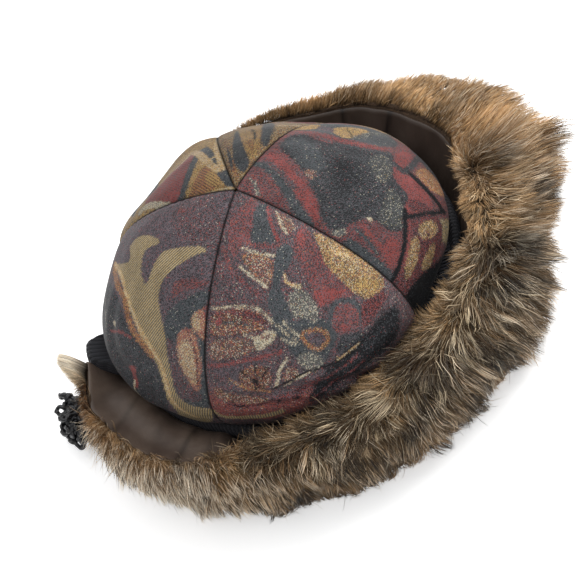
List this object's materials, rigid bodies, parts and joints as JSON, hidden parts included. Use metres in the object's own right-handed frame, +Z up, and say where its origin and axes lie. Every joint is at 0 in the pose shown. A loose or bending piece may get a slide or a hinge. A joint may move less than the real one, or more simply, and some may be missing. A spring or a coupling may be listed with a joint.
{
  "type": "fur-brimmed brocade hat",
  "caption": "Domed cloth hat: gored jacquard crown, black rib-knit band round the head opening, and a wide turned-up brim faced with satin inside and deep fur outside.",
  "frame": {"origin": "middle of the hat's box, on the surface it stands on", "axes": "+Z up through the crown, -Y towards the front of the brim where the fur is deepest, +X to the right of someone who looks at the back of the hat"},
  "size_m": [0.2646, 0.3754, 0.1519],
  "materials": {
    "jacquard": "woven jacquard in charcoal, brick red, old gold, olive and cream, matt with a slight thread shine",
    "rib_knit": "black rib knit",
    "satin": "dark brown satin with soft wrinkles",
    "fur": "deep grey-brown fur with dark-tipped and silver guard hairs",
    "yarn": "shiny black looped yarn"
  },
  "bodies": {
    "root": {"crown_gore_1": "jacquard", "crown_gore_2": "jacquard", "crown_gore_3": "jacquard", "crown_gore_4": "jacquard", "crown_gore_5": "jacquard", "knit_band": "rib_knit", "brim_lining": "satin", "fur_brim": "fur", "nape_tuft": "yarn"}
  },
  "joints": []
}
